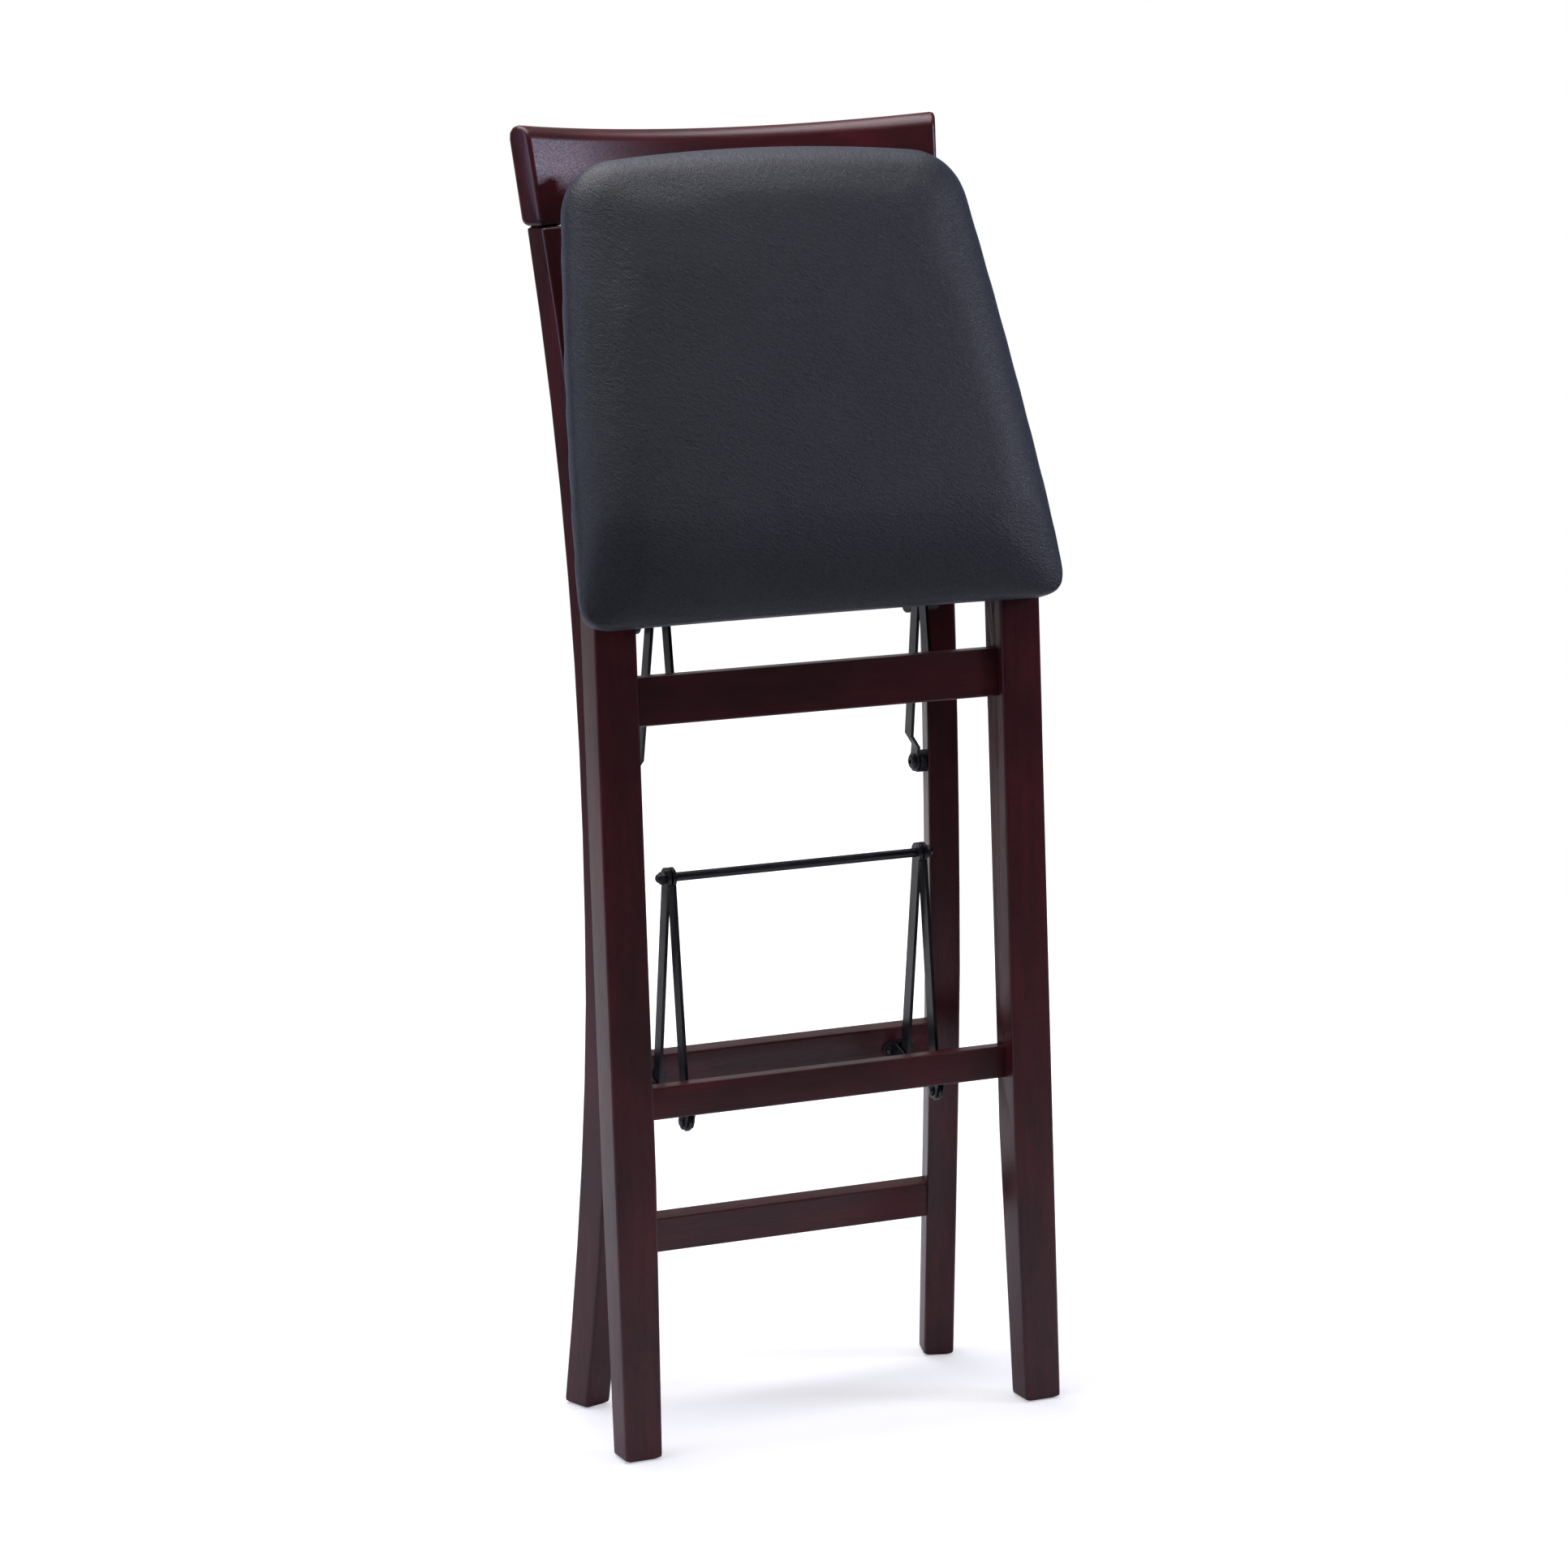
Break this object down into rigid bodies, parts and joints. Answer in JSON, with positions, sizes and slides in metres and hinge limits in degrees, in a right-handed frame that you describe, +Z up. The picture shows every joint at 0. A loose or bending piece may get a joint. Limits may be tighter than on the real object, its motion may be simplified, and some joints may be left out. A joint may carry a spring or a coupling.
{
  "type": "folding_bar_stool",
  "caption": "Folding bar stool with dark wooden frame, low curved back rail, hinged padded seat, footrest and steel folding stays, shown folded flat",
  "frame": {"origin": "on the floor plane, under the middle of the bounding box of the folded stool", "axes": "+Z up, -Y the front that the folded seat pad faces, +X to the right seen from the front"},
  "size_m": [0.4588, 0.279, 1.1341],
  "materials": {
    "frame": "dark espresso stained hardwood, satin lacquer",
    "hardware": "black powder coat, semi-matte",
    "plastic": "black moulded plastic",
    "cushion": "charcoal black vinyl with fine leather grain",
    "board": "plain birch plywood"
  },
  "bodies": {
    "rear_frame": {"back_leg_left": "frame", "back_leg_right": "frame", "upper_back_rail": "frame", "lower_back_rail": "frame", "crest_rail": "frame", "lower_back_clevis_left": "hardware", "lower_back_clevis_right": "hardware", "lower_back_pin_left": "hardware", "lower_back_pin_right": "hardware", "lower_back_screw_left_1": "hardware", "lower_back_screw_left_2": "hardware", "lower_back_screw_right_1": "hardware", "lower_back_screw_right_2": "hardware", "stay_spacer_left": "plastic", "stay_spacer_right": "plastic", "stay_bolt_left": "hardware", "stay_bolt_right": "hardware", "seat_rest_peg_left": "plastic", "seat_rest_peg_right": "plastic"},
    "lower_back_stays": {"lower_back_stay_left": "hardware", "lower_back_stay_right": "hardware", "cross_rod": "hardware", "apex_washer_left": "hardware", "apex_washer_right": "hardware", "apex_cap_nut_left": "hardware", "apex_cap_nut_right": "hardware"},
    "lower_front_stays": {"lower_front_stay_left": "hardware", "lower_front_stay_right": "hardware"},
    "front_frame": {"front_leg_left": "frame", "front_leg_right": "frame", "upper_front_rail": "frame", "footrest_rail": "frame", "seat_hinge_pin_left": "hardware", "seat_hinge_pin_right": "hardware", "lower_front_clevis_left": "hardware", "lower_front_clevis_right": "hardware", "lower_front_pin_left": "hardware", "lower_front_pin_right": "hardware", "upper_front_clevis_left": "hardware", "upper_front_clevis_right": "hardware", "upper_front_pin_left": "hardware", "upper_front_pin_right": "hardware"},
    "upper_back_stays": {"upper_back_stay_left": "hardware", "upper_back_stay_right": "hardware", "upper_apex_rivet_left": "hardware", "upper_apex_rivet_right": "hardware"},
    "upper_front_stays": {"upper_front_stay_left": "hardware", "upper_front_stay_right": "hardware"},
    "seat": {"seat_board": "board", "seat_cushion": "cushion", "seat_bearer_left": "frame", "seat_bearer_right": "frame", "seat_hinge_bracket_left": "hardware", "seat_hinge_bracket_right": "hardware", "seat_bracket_screw_left_1": "hardware", "seat_bracket_screw_left_2": "hardware", "seat_bracket_screw_right_1": "hardware", "seat_bracket_screw_right_2": "hardware"}
  },
  "joints": [
    {"name": "lower_fold", "type": "hinge", "parent": "rear_frame", "child": "lower_back_stays", "pos_m": [0, -0.02241, 0.29783], "axis": [1, 0, 0], "range_deg": [0, 88.39]},
    {"name": "lower_apex", "type": "hinge", "parent": "lower_back_stays", "child": "lower_front_stays", "pos_m": [0, -0.04724, 0.49144], "axis": [1, 0, 0], "range_deg": [-169.93, 0]},
    {"name": "lower_front_pivot", "type": "hinge", "parent": "lower_front_stays", "child": "front_frame", "pos_m": [0, -0.07379, 0.28], "axis": [1, 0, 0], "range_deg": [0, 74.7]},
    {"name": "seat_hinge", "type": "hinge", "parent": "front_frame", "child": "seat", "pos_m": [0, -0.07809, 0.73562], "axis": [1, 0, 0], "range_deg": [-63.16, 0]},
    {"name": "upper_back_pivot", "type": "hinge", "parent": "rear_frame", "child": "upper_back_stays", "pos_m": [0, 0.00436, 0.563], "axis": [1, 0, 0], "range_deg": [0, 75.48]},
    {"name": "upper_front_pivot", "type": "hinge", "parent": "front_frame", "child": "upper_front_stays", "pos_m": [0, -0.0555, 0.63806], "axis": [1, 0, 0], "range_deg": [-89.81, 0]}
  ],
  "couplings": [
    {"joint": "lower_apex", "follows": "lower_fold", "ratio": -1.9226},
    {"joint": "lower_front_pivot", "follows": "lower_fold", "ratio": 0.84517},
    {"joint": "seat_hinge", "follows": "lower_fold", "ratio": -0.71457},
    {"joint": "upper_back_pivot", "follows": "lower_fold", "ratio": 0.85394},
    {"joint": "upper_front_pivot", "follows": "lower_fold", "ratio": -1.0161}
  ]
}
